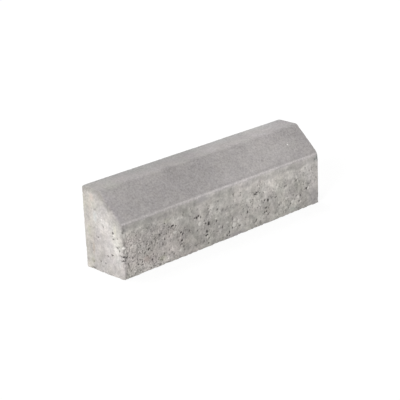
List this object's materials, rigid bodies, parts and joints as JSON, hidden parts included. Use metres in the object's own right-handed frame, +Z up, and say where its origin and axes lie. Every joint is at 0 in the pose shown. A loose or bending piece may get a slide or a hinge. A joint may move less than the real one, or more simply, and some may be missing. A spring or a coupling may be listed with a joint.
{
  "type": "concrete kerb stone",
  "caption": "Pressed concrete kerb stone: an oblong block with a splay of about 43 degrees along its top road-side edge and open blowholes in its road face.",
  "frame": {"origin": "middle of the bed face, which rests on the ground", "axes": "+X along the kerb line, -Y towards the road (the splayed side), +Y towards the footway, +Z up"},
  "size_m": [0.5, 0.1, 0.15],
  "materials": {
    "concrete": "matte"
  },
  "bodies": {
    "root": {"kerb_stone": "concrete"}
  },
  "joints": []
}
